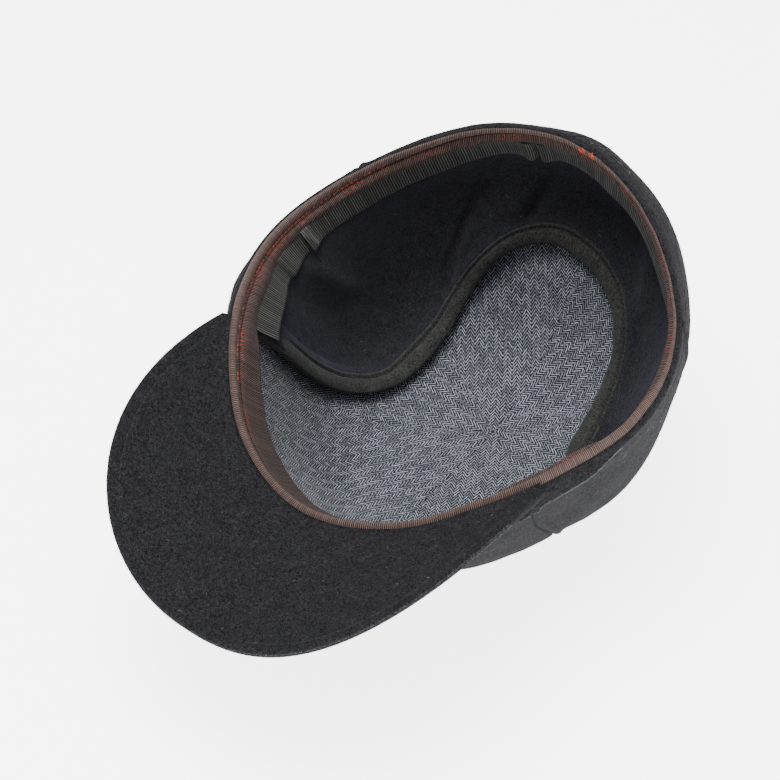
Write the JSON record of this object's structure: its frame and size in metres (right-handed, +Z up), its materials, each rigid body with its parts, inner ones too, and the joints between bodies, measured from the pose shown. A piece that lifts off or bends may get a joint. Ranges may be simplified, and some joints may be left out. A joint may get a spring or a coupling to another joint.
{
  "type": "cap",
  "caption": "Soft wool cap with a curved peak, lying upside down on its crown, hollow open upwards, its fleece ear flap folded inside.",
  "frame": {"origin": "on the ground, below the middle of the cap's box", "axes": "+Z up out of the open crown, -Y towards the peak, +X towards the wearer's right"},
  "size_m": [0.193, 0.2834, 0.1431],
  "materials": {
    "wool": "matte brushed wool",
    "lining": "herringbone weave",
    "knit": "fine ribbed knit",
    "ribbon": "ribbed grosgrain",
    "fleece": "short fleece pile",
    "tape": "smooth twill tape"
  },
  "bodies": {
    "root": {"crown_back_left": "wool", "crown_side_left": "wool", "crown_front_left": "wool", "crown_front_right": "wool", "crown_side_right": "wool", "crown_back_right": "wool", "lining_back_left": "lining", "lining_side_left": "lining", "lining_front_left": "lining", "lining_front_right": "lining", "lining_side_right": "lining", "lining_back_right": "lining", "sweatband": "knit", "ribbon": "ribbon", "ear_flap": "fleece", "flap_binding": "tape", "peak_under_cover": "wool", "peak_top_cover": "wool"}
  },
  "joints": []
}
